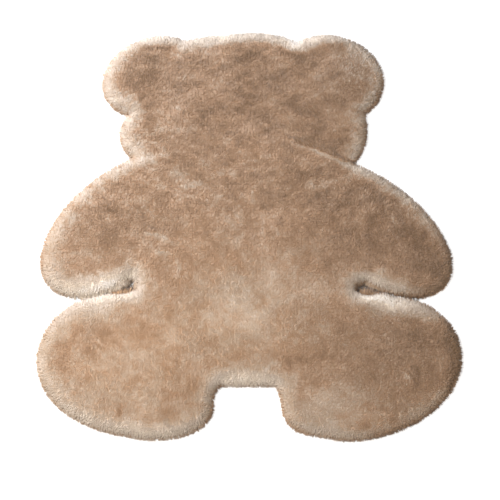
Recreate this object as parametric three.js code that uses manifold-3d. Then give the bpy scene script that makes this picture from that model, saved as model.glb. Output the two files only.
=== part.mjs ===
// A bear shaped rug of dense, sheared fur, lying flat with its pile up.
//
// Millimetres, +Z up. The origin is on the floor under the middle of the rug. +Y points to
// the top of the head, and +X to the right hand side as one looks down on it, head away.
//
// The rug is one piece: a flat hide whose pile leans out over the cut edge and hides it.
// Here it is one solid with a flat underside, a rolled rim, a softly lumped top with the
// shallow troughs where the pile parts, and small locks of fur that stick out of the rim.

import * as THREE from 'three';
import { ImprovedNoise } from 'three/addons/math/ImprovedNoise.js';
import { mergeVertices } from 'three/addons/utils/BufferGeometryUtils.js';
import Module from 'manifold-3d';

// ---- Outline -----------------------------------------------------------------------------

// The bear's outline is nineteen full ovals that run into each other. x and y place the middle
// of each, halfWidth and halfLength are its two half sizes before it is turned, turn is in
// degrees anticlockwise, and fullness is 2 for an ellipse and more for a squarer oval.
const LOBES = [
  { name: 'head', x: -55, y: 350, halfWidth: 243, halfLength: 169, turn: 7, fullness: 2.7 },
  { name: 'left ear', x: -245, y: 399, halfWidth: 134, halfLength: 110, turn: 32, fullness: 2 },
  { name: 'right ear', x: 207, y: 394, halfWidth: 138, halfLength: 123, turn: -21, fullness: 2 },
  { name: 'left cheek', x: -189, y: 236, halfWidth: 134, halfLength: 101, turn: 1, fullness: 2 },
  { name: 'right cheek', x: 164, y: 251, halfWidth: 132, halfLength: 141, turn: 0, fullness: 2 },
  { name: 'neck', x: -10, y: 200, halfWidth: 200, halfLength: 120, turn: 0, fullness: 2.5 },
  { name: 'left arm', x: -304, y: -1, halfWidth: 232, halfLength: 132, turn: 44, fullness: 2 },
  { name: 'right arm', x: 289, y: -10, halfWidth: 231, halfLength: 125, turn: -41, fullness: 2 },
  { name: 'body', x: -7, y: -99, halfWidth: 261, halfLength: 301, turn: 0, fullness: 3.8 },
  { name: 'left armpit', x: -235, y: -95, halfWidth: 65, halfLength: 65, turn: 0, fullness: 2 },
  { name: 'right armpit', x: 232, y: -100, halfWidth: 65, halfLength: 65, turn: 0, fullness: 2 },
  { name: 'left thigh', x: -270, y: -231, halfWidth: 110, halfLength: 62, turn: 0, fullness: 2 },
  { name: 'right thigh', x: 268, y: -233, halfWidth: 105, halfLength: 62, turn: 0, fullness: 2 },
  { name: 'left groin', x: -122, y: -350, halfWidth: 78, halfLength: 78, turn: 0, fullness: 2 },
  { name: 'right groin', x: 118, y: -350, halfWidth: 78, halfLength: 78, turn: 0, fullness: 2 },
  { name: 'left foot', x: -275, y: -351, halfWidth: 212, halfLength: 158, turn: -16, fullness: 2.2 },
  { name: 'right foot', x: 275, y: -355, halfWidth: 218, halfLength: 157, turn: 20, fullness: 2.1 },
  { name: 'left heel', x: -199, y: -444, halfWidth: 123, halfLength: 76, turn: 4, fullness: 2.3 },
  { name: 'right heel', x: 164, y: -409, halfWidth: 91, halfLength: 105, turn: -9, fullness: 2.7 },
];
const CHORD = 21;

// ---- Pile --------------------------------------------------------------------------------

// Mean height of the sheared top, and the height at which the rim reaches furthest out.
const PILE_HEIGHT = 26.2;
const WIDEST_HEIGHT = 9;

// The rim rolls from its widest place up to ROLL_HEIGHT, ROLL_DEPTH further in, and turns
// back in by UNDERCUT where it meets the floor.
const ROLL_HEIGHT = 29;
const ROLL_DEPTH = 34;
const ROLL_STEPS = 4;
const UNDERCUT = 8;

// Unevenness of the top: broad swells and the smaller lumps of the fur, as heights and spans.
const SWELL = { height: 1.5, span: 120 };
const LUMP = { height: 2.4, span: 47 };
const TOP_PITCH = 28;

// Where the pile parts or is pressed, it leaves a shallow trough from one place by way of
// another to a third. depth and halfWidth are those of the trough.
const TROUGHS = [
  {
    name: 'right of the neck',
    from: [70, 220],
    by: [170, 180],
    to: [277, 146],
    halfWidth: 16,
    depth: 3.2,
  },
  {
    name: 'left of the neck',
    from: [-288, 146],
    by: [-245, 157],
    to: [-198, 171],
    halfWidth: 16,
    depth: 2.4,
  },
  {
    name: 'over the right thigh',
    from: [39, -357],
    by: [117, -331],
    to: [190, -324],
    halfWidth: 17,
    depth: 3,
  },
];

// ---- Locks of fur at the rim -------------------------------------------------------------

// Each lock is a four sided spike. Its root is fused inside the rim, its tip stands out of it.
const LOCK_SPACING = 13.2;
const MOST_LOCKS = 300;
const LOCK_ROOT = { halfWidth: 7, halfThickness: 4, sunk: 6, height: 10 };
const LOCK_REACH = { shortest: 2.5, longest: 6 };
const LOCK_DROOP = { least: 2, most: 14 };
const LOCK_SWING = 24;
const LOCK_CLEARANCE = 11;
const LOCK_SEED = 7;

const furMaterial = new THREE.MeshStandardMaterial({
  name: 'tan fur',
  color: 0xaf947d,
  roughness: 0.95,
  metalness: 0,
});

// ---- Solids ------------------------------------------------------------------------------

const wasm = await Module();
wasm.setup();

/** Turns a closed three.js geometry into a manifold-3d solid. */
function toSolid(geometry) {
  const bare = geometry.clone();
  bare.deleteAttribute('normal');
  bare.deleteAttribute('uv');
  const merged = mergeVertices(bare);
  const corners = merged.index.array;
  const kept = [];
  for (let i = 0; i < corners.length; i += 3) {
    const [a, b, c] = corners.slice(i, i + 3);
    const collapsed = a === b || b === c || c === a;
    if (!collapsed) kept.push(a, b, c);
  }
  return new wasm.Manifold(
    new wasm.Mesh({
      numProp: 3,
      vertProperties: new Float32Array(merged.attributes.position.array),
      triVerts: new Uint32Array(kept),
    }),
  );
}

/** Turns a manifold-3d solid back into a three.js geometry with flat faces. */
function toGeometry(solid) {
  const { vertProperties, triVerts } = solid.getMesh();
  const geometry = new THREE.BufferGeometry();
  geometry.setAttribute('position', new THREE.BufferAttribute(vertProperties, 3));
  geometry.setIndex(new THREE.BufferAttribute(triVerts, 1));
  geometry.computeVertexNormals();
  return geometry;
}

// ---- Lobes -------------------------------------------------------------------------------

/** Distance from a lobe's middle to its outline, along an angle measured before its turn. */
function lobeRadius(lobe, angle, inset = 0) {
  const across = Math.abs(Math.cos(angle) / (lobe.halfWidth - inset));
  const along = Math.abs(Math.sin(angle) / (lobe.halfLength - inset));
  return (across ** lobe.fullness + along ** lobe.fullness) ** (-1 / lobe.fullness);
}

/** How far a place lies outside a lobe, along the line from the lobe's middle. */
function distanceOutside(lobe, x, y) {
  const dx = x - lobe.x;
  const dy = y - lobe.y;
  const angle = Math.atan2(dy, dx) - THREE.MathUtils.degToRad(lobe.turn);
  return Math.hypot(dx, dy) - lobeRadius(lobe, angle);
}

/** Half section of the rim for a lathe, from the axis under the floor to the axis on top. */
function rimSection(radius) {
  const section = [
    new THREE.Vector2(0, -WIDEST_HEIGHT),
    new THREE.Vector2(radius - 2 * UNDERCUT, -WIDEST_HEIGHT),
  ];
  for (let step = 0; step <= ROLL_STEPS; step += 1) {
    const angle = (step / ROLL_STEPS) * (Math.PI / 2);
    const inset = ROLL_DEPTH * (1 - Math.cos(angle));
    const rise = (ROLL_HEIGHT - WIDEST_HEIGHT) * Math.sin(angle);
    section.push(new THREE.Vector2(radius - inset, WIDEST_HEIGHT + rise));
  }
  section.push(new THREE.Vector2(0, ROLL_HEIGHT));
  return section;
}

/** One lobe as a flat cushion with the rolled rim, reaching a little under the floor. */
function lobeGeometry(lobe) {
  const radius = lobe.halfWidth;
  const girth = Math.PI * (lobe.halfWidth + lobe.halfLength);
  const geometry = new THREE.LatheGeometry(rimSection(radius), Math.round(girth / CHORD));
  geometry.rotateX(Math.PI / 2);
  const places = geometry.attributes.position;
  const place = new THREE.Vector2();
  for (let i = 0; i < places.count; i += 1) {
    place.set(places.getX(i), places.getY(i));
    if (place.lengthSq() > 0) {
      const inset = radius - place.length();
      place.setLength(lobeRadius(lobe, place.angle(), inset));
      places.setXY(i, place.x, place.y);
    }
  }
  geometry.rotateZ(THREE.MathUtils.degToRad(lobe.turn));
  geometry.translate(lobe.x, lobe.y, 0);
  return geometry;
}

// ---- Top of the pile ---------------------------------------------------------------------

const noise = new ImprovedNoise();

/** Uneven part of the pile's height at a place. */
function unevenness(x, y) {
  const swell = SWELL.height * noise.noise(x / SWELL.span, y / SWELL.span, 0.5);
  const lump = LUMP.height * noise.noise(x / LUMP.span, y / LUMP.span, 4.5);
  return swell + lump;
}

/** Points along a trough, close enough together to measure distances to. */
function troughPoints({ from, by, to }) {
  const curve = new THREE.CatmullRomCurve3([from, by, to].map(([x, y]) => new THREE.Vector3(x, y, 0)));
  return curve.getSpacedPoints(24);
}

const troughs = TROUGHS.map((trough) => ({ ...trough, points: troughPoints(trough) }));

/** How much the troughs lower the pile at a place. */
function troughDepth(x, y) {
  const place = new THREE.Vector3(x, y, 0);
  let depth = 0;
  for (const trough of troughs) {
    const nearest = Math.min(...trough.points.map((point) => point.distanceTo(place)));
    depth += trough.depth * Math.exp(-((nearest / trough.halfWidth) ** 2));
  }
  return depth;
}

/** What the shears take away: a block of air whose underside is the top of the pile. */
function airGeometry(box) {
  const size = box.getSize(new THREE.Vector3());
  const middle = box.getCenter(new THREE.Vector3());
  const width = size.x + 2 * TOP_PITCH;
  const length = size.y + 2 * TOP_PITCH;
  const columns = Math.round(width / TOP_PITCH);
  const rows = Math.round(length / TOP_PITCH);
  const geometry = new THREE.BoxGeometry(width, length, PILE_HEIGHT, columns, rows, 1);
  geometry.translate(middle.x, middle.y, 1.5 * PILE_HEIGHT);
  const places = geometry.attributes.position;
  for (let i = 0; i < places.count; i += 1) {
    const x = places.getX(i);
    const y = places.getY(i);
    if (places.getZ(i) < 1.5 * PILE_HEIGHT) {
      places.setZ(i, PILE_HEIGHT + unevenness(x, y) - troughDepth(x, y));
    }
  }
  return geometry;
}

/** What lies under the floor, which cuts the underside flat. */
function floorGeometry(box) {
  const size = box.getSize(new THREE.Vector3());
  const middle = box.getCenter(new THREE.Vector3());
  const thickness = 2 * WIDEST_HEIGHT;
  const geometry = new THREE.BoxGeometry(size.x + CHORD, size.y + CHORD, thickness);
  geometry.translate(middle.x, middle.y, -thickness / 2);
  return geometry;
}

// ---- Locks -------------------------------------------------------------------------------

/** The lobe's outline at the widest height of the rim, as a closed curve. */
function outlineCurve(lobe) {
  const turn = THREE.MathUtils.degToRad(lobe.turn);
  const points = [];
  for (let degrees = 0; degrees < 360; degrees += 5) {
    const angle = THREE.MathUtils.degToRad(degrees);
    const radius = lobeRadius(lobe, angle);
    const x = lobe.x + radius * Math.cos(angle + turn);
    const y = lobe.y + radius * Math.sin(angle + turn);
    points.push(new THREE.Vector3(x, y, LOCK_ROOT.height));
  }
  return new THREE.CatmullRomCurve3(points, true);
}

/** A seeded number between two limits. */
function seededBetween(least, most) {
  return THREE.MathUtils.lerp(least, most, THREE.MathUtils.seededRandom());
}

/** One lock at a place on the outline, pointing outward, a little down and to one side. */
function lockGeometry(place, outward) {
  const reach = seededBetween(LOCK_REACH.shortest, LOCK_REACH.longest);
  const swing = THREE.MathUtils.degToRad(seededBetween(-LOCK_SWING, LOCK_SWING));
  const droop = THREE.MathUtils.degToRad(seededBetween(LOCK_DROOP.least, LOCK_DROOP.most));
  const length = LOCK_ROOT.sunk + reach;
  const geometry = new THREE.ConeGeometry(1, length, 4);
  geometry.scale(LOCK_ROOT.halfWidth, 1, LOCK_ROOT.halfThickness);
  geometry.translate(0, length / 2 - LOCK_ROOT.sunk, 0);
  geometry.rotateX(-droop);
  geometry.rotateZ(Math.atan2(outward.y, outward.x) - Math.PI / 2 + swing);
  geometry.translate(place.x, place.y, place.z);
  return geometry;
}

/** Locks all round the bear's outline, but not where two lobes meet or nearly touch. */
function lockGeometries() {
  THREE.MathUtils.seededRandom(LOCK_SEED);
  const locks = [];
  for (const lobe of LOBES) {
    const curve = outlineCurve(lobe);
    const count = Math.round(curve.getLength() / LOCK_SPACING);
    const others = LOBES.filter((other) => other !== lobe);
    for (let i = 0; i < count; i += 1) {
      const place = curve.getPointAt(i / count);
      const along = curve.getTangentAt(i / count);
      const outward = new THREE.Vector3(along.y, -along.x, 0);
      const clear = others.every((other) => distanceOutside(other, place.x, place.y) > LOCK_CLEARANCE);
      if (clear) locks.push(lockGeometry(place, outward));
    }
  }
  if (locks.length > MOST_LOCKS) throw new Error(`${locks.length} locks are more than ${MOST_LOCKS}`);
  return locks;
}

// ---- The rug -----------------------------------------------------------------------------

/** The whole rug as one geometry, its underside at z = 0 and its box centred on the origin. */
function rugGeometry() {
  const outline = wasm.Manifold.union(LOBES.map((lobe) => toSolid(lobeGeometry(lobe))));
  const box = toGeometry(outline);
  box.computeBoundingBox();
  const locks = wasm.Manifold.union(lockGeometries().map(toSolid));
  const rug = outline
    .subtract(toSolid(airGeometry(box.boundingBox)))
    .add(locks)
    .subtract(toSolid(floorGeometry(box.boundingBox)));
  const geometry = toGeometry(rug);
  geometry.computeBoundingBox();
  const middle = geometry.boundingBox.getCenter(new THREE.Vector3());
  geometry.translate(-middle.x, -middle.y, 0);
  return geometry;
}

const rug = new THREE.Mesh(rugGeometry(), furMaterial);
rug.name = 'fur_rug';

const bearRug = new THREE.Group();
bearRug.name = 'bear shaped rug';
bearRug.add(rug);

export default bearRug;
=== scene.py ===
"""A bear shaped rug of dense sheared fur, lying flat with its pile up on a pale floor.

Metres, +Z up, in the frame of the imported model: the origin is on the floor under the middle
of the rug and +Y points to the top of the head. The hide and the felted base of the pile are
one closed sheet, the bed. The pile itself stands on it as many small tapering locks of fur:
short ones on top, and longer ones that lean out over the rim and hide the cut edge.
"""

import logging
import math
from dataclasses import dataclass, field
from enum import Enum

import bmesh
import bpy
import numpy as np
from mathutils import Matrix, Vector
from mathutils.bvhtree import BVHTree
from mathutils.kdtree import KDTree


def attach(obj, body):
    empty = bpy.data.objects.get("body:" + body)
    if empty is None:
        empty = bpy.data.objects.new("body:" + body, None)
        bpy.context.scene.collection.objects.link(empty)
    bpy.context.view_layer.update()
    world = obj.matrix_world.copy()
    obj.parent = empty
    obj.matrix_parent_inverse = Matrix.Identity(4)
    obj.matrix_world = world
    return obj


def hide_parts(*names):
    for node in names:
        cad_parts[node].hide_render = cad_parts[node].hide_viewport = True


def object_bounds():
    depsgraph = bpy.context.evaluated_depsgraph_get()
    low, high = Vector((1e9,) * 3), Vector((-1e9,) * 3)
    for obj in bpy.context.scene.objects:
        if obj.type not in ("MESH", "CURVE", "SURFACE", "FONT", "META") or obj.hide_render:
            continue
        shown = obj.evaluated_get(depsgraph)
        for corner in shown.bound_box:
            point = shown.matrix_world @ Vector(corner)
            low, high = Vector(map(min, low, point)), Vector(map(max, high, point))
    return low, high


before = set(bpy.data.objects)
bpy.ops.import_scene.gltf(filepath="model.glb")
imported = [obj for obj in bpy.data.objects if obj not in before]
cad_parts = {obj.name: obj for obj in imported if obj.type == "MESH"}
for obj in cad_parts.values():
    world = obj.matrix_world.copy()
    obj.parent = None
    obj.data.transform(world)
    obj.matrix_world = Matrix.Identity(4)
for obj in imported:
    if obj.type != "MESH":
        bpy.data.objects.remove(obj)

logging.basicConfig(level=logging.INFO, format="%(message)s")
log = logging.getLogger("bear rug")

MM = 0.001
WELD = 1e-5
CAD_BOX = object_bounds()
BAKE_MAP = "OFBake"
RUG_NODE = "fur_rug"

Array = np.ndarray


# ---- Noise -------------------------------------------------------------------------------


@dataclass(frozen=True)
class SoftNoise:
    """Smooth seeded noise over the floor plane, from -1 to 1."""

    seed: int
    span: float
    cells: int = 512

    def at(self, x: Array, y: Array) -> Array:
        """Reads the noise.

        Args:
            x: places across the rug.
            y: places along the rug.

        Returns:
            One value from -1 to 1 for each place.
        """
        lattice = np.random.default_rng(self.seed).uniform(-1, 1, (self.cells, self.cells))
        column, row = x / self.span + self.cells / 2, y / self.span + self.cells / 2
        left, low = np.floor(column).astype(int), np.floor(row).astype(int)
        u, v = column - left, row - low
        u, v = u * u * (3 - 2 * u), v * v * (3 - 2 * v)
        left, low = left % self.cells, low % self.cells
        right, high = (left + 1) % self.cells, (low + 1) % self.cells
        below = lattice[low, left] * (1 - u) + lattice[low, right] * u
        above = lattice[high, left] * (1 - u) + lattice[high, right] * u
        return below * (1 - v) + above * v


@dataclass(frozen=True)
class Waves:
    """A broad and a fine noise together, each with its own strength."""

    broad: SoftNoise
    fine: SoftNoise
    strengths: tuple = (0.6, 0.6)

    def at(self, x: Array, y: Array) -> Array:
        """Both noises added up, for each place."""
        return self.strengths[0] * self.broad.at(x, y) + self.strengths[1] * self.fine.at(x, y)


# ---- Finishes ----------------------------------------------------------------------------


class NodeSheet:
    """A material's node tree with short ways to add and join nodes.

    The mix node has sockets of the same names for numbers, vectors and colours, so those of
    its share and its colours are known by their places.
    """

    MIX_SHARE = 0
    MIX_FIRST = 6
    MIX_SECOND = 7
    MIX_RESULT = 2

    def __init__(self, name: str) -> None:
        """Starts an empty material with one principled shader.

        Args:
            name: the material's name.
        """
        self.material = bpy.data.materials.new(name)
        self.material.use_nodes = True
        self.tree = self.material.node_tree
        self.tree.nodes.clear()
        self.shader = self.add("ShaderNodeBsdfPrincipled")
        output = self.add("ShaderNodeOutputMaterial")
        self.join(self.shader.outputs["BSDF"], output.inputs["Surface"])

    def add(self, kind: str, **settings: object) -> bpy.types.Node:
        """Adds a node.

        Args:
            kind: the node's type.
            settings: properties of the node, or values of its sockets by name.

        Returns:
            The new node.
        """
        node = self.tree.nodes.new(kind)
        for name, value in settings.items():
            if hasattr(node, name):
                setattr(node, name, value)
            else:
                node.inputs[name].default_value = value
        return node

    def join(self, source: bpy.types.NodeSocket, target: bpy.types.NodeSocket) -> None:
        """Joins an output to an input."""
        self.tree.links.new(source, target)

    def settle(self, values: dict[str, float]) -> None:
        """Sets sockets of the shader that are the same all over the surface.

        Args:
            values: the value of each socket by the socket's name.
        """
        for name, value in values.items():
            self.shader.inputs[name].default_value = value

    def ramp(self, source: bpy.types.NodeSocket, stops: list[tuple]) -> bpy.types.NodeSocket:
        """Adds a colour ramp.

        Args:
            source: the value that the ramp reads.
            stops: pairs of a position and a linear colour.

        Returns:
            The ramp's colour output.
        """
        node = self.add("ShaderNodeValToRGB")
        elements = node.color_ramp.elements
        while len(elements) < len(stops):
            elements.new(0.5)
        for element, (position, colour) in zip(elements, stops):
            element.position = position
            element.color = (*colour, 1)
        self.join(source, node.inputs["Fac"])
        return node.outputs["Color"]

    def blend(
        self,
        share: bpy.types.NodeSocket,
        first: bpy.types.NodeSocket,
        second: bpy.types.NodeSocket,
        way: str = "MIX",
    ) -> bpy.types.NodeSocket:
        """Mixes two colours.

        Args:
            share: how much of the second colour shows.
            first: the first colour.
            second: the second colour.
            way: the blend type.

        Returns:
            The mixed colour.
        """
        node = self.add("ShaderNodeMix", data_type="RGBA", blend_type=way)
        self.join(share, node.inputs[self.MIX_SHARE])
        self.join(first, node.inputs[self.MIX_FIRST])
        self.join(second, node.inputs[self.MIX_SECOND])
        return node.outputs[self.MIX_RESULT]

    def bump(self, height: bpy.types.NodeSocket, depth: float, strength: float) -> None:
        """Sends a height through a bump node to the shader's normal.

        Args:
            height: the height from 0 to 1.
            depth: the real depth of the relief in metres.
            strength: the bump's strength.
        """
        node = self.add("ShaderNodeBump", Strength=strength, Distance=depth)
        self.join(height, node.inputs["Height"])
        self.join(node.outputs["Normal"], self.shader.inputs["Normal"])


@dataclass(frozen=True)
class FurColours:
    """Linear colours of the fur, from a warm brown by way of tan to cream.

    The first colour, a warm brown at tone 0, is mostly met by the locks down in the hollows at
    the ends of the slits, where it stands for their shade: painted shade. The rest are those of
    the tips and of the sides of the locks, from dark to cream, which are the same from light on.
    """

    # Painted shade: the warm brown of the fur down in the hollows at the slits' ends.
    hollow_shade_brown: tuple = (0.60, 0.37, 0.20)
    dark_tip: tuple = (0.22, 0.135, 0.079)
    tan_tip: tuple = (0.405, 0.262, 0.166)
    fair_tip: tuple = (0.480, 0.366, 0.275)
    # The sides are a little darker than the tips: painted shade deeper in the pile.
    dark_flank: tuple = (0.20, 0.12, 0.068)
    tan_flank: tuple = (0.375, 0.238, 0.146)
    fair_flank: tuple = (0.470, 0.356, 0.266)
    light: tuple = (0.550, 0.457, 0.381)
    pale: tuple = (0.700, 0.602, 0.505)
    cream: tuple = (0.83, 0.765, 0.71)
    dark_tone: float = 0.13
    tan_tone: float = 0.4
    fair_tone: float = 0.55
    light_tone: float = 0.7
    pale_tone: float = 0.85

    def tips(self) -> list[tuple]:
        """Ramp stops of the tips by tone."""
        return self.stops(self.dark_tip, self.tan_tip, self.fair_tip)

    def flanks(self) -> list[tuple]:
        """Ramp stops of the sides of the locks by tone."""
        return self.stops(self.dark_flank, self.tan_flank, self.fair_flank)

    def stops(self, dark: tuple, tan: tuple, fair: tuple) -> list[tuple]:
        """Ramp stops of the warm brown of painted shade, three more and the shared light ones.

        Args:
            dark: the colour at the dark tone.
            tan: the colour at the tan tone.
            fair: the colour at the fair tone.

        Returns:
            Pairs of a tone and a linear colour.
        """
        return [
            (0.0, self.hollow_shade_brown),
            (self.dark_tone, dark),
            (self.tan_tone, tan),
            (self.fair_tone, fair),
            (self.light_tone, self.light),
            (self.pale_tone, self.pale),
            (1.0, self.cream),
        ]


@dataclass(frozen=True)
class FurFinish:
    """Finish of the standing locks. The map's u is a lock's tone and its v runs root to tip."""

    colours: FurColours = FurColours()
    tip_starts: float = 0.35
    tip_full: float = 0.97
    roughness: float = 0.86
    roughness_spread: float = 0.08
    sheen: float = 0.25
    sheen_roughness: float = 0.6
    specular: float = 0.2
    hair_scale: tuple = (160, 3, 1)
    hair_relief: float = 0.15 * MM
    hair_strength: float = 0.4

    def build(self) -> bpy.types.Material:
        """Builds the material.

        Returns:
            The material of the locks.
        """
        sheet = NodeSheet("sheared fur")
        place = sheet.add("ShaderNodeUVMap", uv_map=BAKE_MAP)
        parts = sheet.add("ShaderNodeSeparateXYZ")
        sheet.join(place.outputs["UV"], parts.inputs[0])
        tone, along = parts.outputs["X"], parts.outputs["Y"]
        tips = sheet.ramp(tone, self.colours.tips())
        flanks = sheet.ramp(tone, self.colours.flanks())
        reach = sheet.add("ShaderNodeMapRange", interpolation_type="SMOOTHSTEP")
        reach.inputs["From Min"].default_value = self.tip_starts
        reach.inputs["From Max"].default_value = self.tip_full
        sheet.join(along, reach.inputs["Value"])
        # Sides towards the roots, tips at the end; the darker sides are painted shade in the pile.
        colour = sheet.blend(reach.outputs["Result"], flanks, tips)
        sheet.join(colour, sheet.shader.inputs["Base Color"])
        hairs = self.hairs(sheet, place.outputs["UV"])
        rough = sheet.add("ShaderNodeMapRange")
        rough.inputs["To Min"].default_value = self.roughness - self.roughness_spread
        rough.inputs["To Max"].default_value = self.roughness + self.roughness_spread
        sheet.join(hairs, rough.inputs["Value"])
        sheet.join(rough.outputs["Result"], sheet.shader.inputs["Roughness"])
        sheet.bump(hairs, self.hair_relief, self.hair_strength)
        sheet.settle(
            {
                "Sheen Weight": self.sheen,
                "Sheen Roughness": self.sheen_roughness,
                "Specular IOR Level": self.specular,
            }
        )
        return sheet.material

    def hairs(self, sheet: NodeSheet, place: bpy.types.NodeSocket) -> bpy.types.NodeSocket:
        """Fine streaks along each lock, where its single hairs run.

        Args:
            sheet: the material's nodes.
            place: the map's coordinates.

        Returns:
            A value from 0 to 1.
        """
        stretch = sheet.add("ShaderNodeMapping")
        stretch.inputs["Scale"].default_value = self.hair_scale
        sheet.join(place, stretch.inputs["Vector"])
        noise = sheet.add("ShaderNodeTexNoise", Scale=1.0, Detail=1.0)
        sheet.join(stretch.outputs["Vector"], noise.inputs["Vector"])
        return noise.outputs["Fac"]


@dataclass(frozen=True)
class BedFinish:
    """Finish of the felted base of the pile, which shows between the locks, taken darker as painted
    shade.
    """

    colours: FurColours = FurColours()
    felt_size: float = 5 * MM
    felt_detail: float = 3.0
    fleck_size: float = 1.6 * MM
    fleck_detail: float = 1.0
    contrast: float = 0.35
    # Added to the tone: painted shade on the base down between the locks.
    shift: float = -0.22
    relief: float = 1.2 * MM
    relief_strength: float = 0.8
    roughness: float = 0.95
    sheen: float = 0.2
    specular: float = 0.15

    def build(self) -> bpy.types.Material:
        """Builds the material. The attribute tone sets how pale the felt is.

        Returns:
            The material of the bed.
        """
        sheet = NodeSheet("felted fur base")
        tone = sheet.add("ShaderNodeAttribute", attribute_name="tone")
        felt = self.noise(sheet, self.felt_size, self.felt_detail)
        fleck = self.noise(sheet, self.fleck_size, self.fleck_detail)
        uneven = sheet.add("ShaderNodeMath", operation="MULTIPLY_ADD")
        uneven.inputs[1].default_value = self.contrast
        uneven.inputs[2].default_value = self.shift
        sheet.join(felt, uneven.inputs[0])
        shade = sheet.add("ShaderNodeMath", operation="ADD")
        sheet.join(uneven.outputs[0], shade.inputs[0])
        sheet.join(tone.outputs["Fac"], shade.inputs[1])
        no_darker = sheet.add("ShaderNodeMath", operation="MAXIMUM")
        no_darker.inputs[1].default_value = self.colours.dark_tone
        sheet.join(shade.outputs[0], no_darker.inputs[0])
        flanks = sheet.ramp(no_darker.outputs[0], self.colours.flanks())
        tips = sheet.ramp(no_darker.outputs[0], self.colours.tips())
        colour = sheet.blend(fleck, tips, flanks)
        sheet.join(colour, sheet.shader.inputs["Base Color"])
        sheet.bump(felt, self.relief, self.relief_strength)
        sheet.settle(
            {
                "Roughness": self.roughness,
                "Sheen Weight": self.sheen,
                "Specular IOR Level": self.specular,
            }
        )
        return sheet.material

    @staticmethod
    def noise(sheet: NodeSheet, size: float, detail: float) -> bpy.types.NodeSocket:
        """A noise of one grain size in object coordinates.

        Args:
            sheet: the material's nodes.
            size: the size of a grain in metres.
            detail: how many finer layers it has.

        Returns:
            A value from 0 to 1.
        """
        place = sheet.add("ShaderNodeTexCoord")
        noise = sheet.add("ShaderNodeTexNoise", Scale=1 / size, Detail=detail)
        sheet.join(place.outputs["Object"], noise.inputs["Vector"])
        return noise.outputs["Fac"]


@dataclass(frozen=True)
class FloorFinish:
    """Plain, very pale floor."""

    colour: tuple = (0.64, 0.64, 0.64)
    roughness: float = 0.9
    glow: float = 0.7

    def build(self) -> bpy.types.Material:
        """Builds the material.

        Returns:
            The material of the floor.
        """
        sheet = NodeSheet("pale floor")
        sheet.shader.inputs["Base Color"].default_value = (*self.colour, 1)
        sheet.shader.inputs["Emission Color"].default_value = (1, 1, 1, 1)
        sheet.settle({"Roughness": self.roughness, "Emission Strength": self.glow})
        return sheet.material


# ---- The coat: tone, nap and tufts -------------------------------------------------------


@dataclass(frozen=True)
class Patch:
    """A broad, soft area where the fur is lighter or darker than the rest."""

    name: str
    x: float
    y: float
    across: float
    along: float
    tone: float

    def share(self, x: Array, y: Array) -> Array:
        """How strongly the patch shows at each place, from 0 to 1."""
        return np.exp(-(((x - self.x) / self.across) ** 2) - ((y - self.y) / self.along) ** 2)


@dataclass(frozen=True)
class Ruffle:
    """A line along which the pile parts or is brushed, from one place by another to a third.

    Seen along the line from its start, the fur to the left is lower and changed by dark, and
    the fur to the right is higher and changed by light: below zero they are painted shade, and
    above zero partly paler roots that show and partly a painted highlight.
    """

    name: str
    start: tuple
    by: tuple
    end: tuple
    width: float
    lean: float
    ridge: float
    dark: float
    light: float
    points: int = 60
    begins_by: float = 0.3
    fades_from: float = 0.7
    low_middle: float = 0.35
    low_width: float = 0.5
    high_middle: float = 0.5
    high_width: float = 0.6

    def line(self) -> Array:
        """Draws the line as a curve.

        Returns:
            Points of the line, close together.
        """
        t = np.linspace(0, 1, self.points)[:, None]
        start, by, end = (np.array(p) for p in (self.start, self.by, self.end))
        middle = 2 * by - (start + end) / 2
        return (1 - t) ** 2 * start + 2 * t * (1 - t) * middle + t**2 * end

    def offsets(self, x: Array, y: Array) -> dict[str, Array]:
        """Measures the places near the line.

        Args:
            x: places across the rug.
            y: places along the rug.

        Returns:
            Which places are near, their signed distances, positive to the left, how much is
            left of the line's strength there, and the direction away from the line.
        """
        points = self.line()
        reach = 3 * self.width
        low, high = points.min(0) - reach, points.max(0) + reach
        near = np.flatnonzero((x > low[0]) & (x < high[0]) & (y > low[1]) & (y < high[1]))
        away = np.stack([x[near], y[near]], 1)[:, None] - points[None]
        far = np.hypot(away[..., 0], away[..., 1])
        pick = far.argmin(1)
        rows = np.arange(len(near))
        away, far = away[rows, pick], far[rows, pick]
        run = np.gradient(points, axis=0)[pick]
        side = np.sign(run[:, 0] * away[:, 1] - run[:, 1] * away[:, 0])
        away = away / np.maximum(far, 1e-6)[:, None]
        along = pick / (len(points) - 1)
        fade = Coat.smooth(along, 0, self.begins_by)
        fade = fade * (1 - 0.5 * Coat.smooth(along, self.fades_from, 1))
        return {
            "near": near,
            "signed": far * side,
            "fade": fade,
            "away_x": away[:, 0],
            "away_y": away[:, 1],
        }

    def shares(self, signed: Array) -> tuple[Array, Array]:
        """How strongly the low and the high side show.

        Args:
            signed: distances from the line, positive to the left.

        Returns:
            The shares of the low and of the high side, from 0 to 1.
        """
        low_middle, low_width = self.low_middle * self.width, self.low_width * self.width
        high_middle, high_width = self.high_middle * self.width, self.high_width * self.width
        low = np.exp(-(((signed - low_middle) / low_width) ** 2))
        high = np.exp(-(((signed + high_middle) / high_width) ** 2))
        return low, high


# The broad dark patches of the right arm and the right foot, with the right arm's outer shade, are partly
# painted shade on the right side, which gets less light. The pale upper parts of both legs, under the
# slits, are partly painted light.
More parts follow.
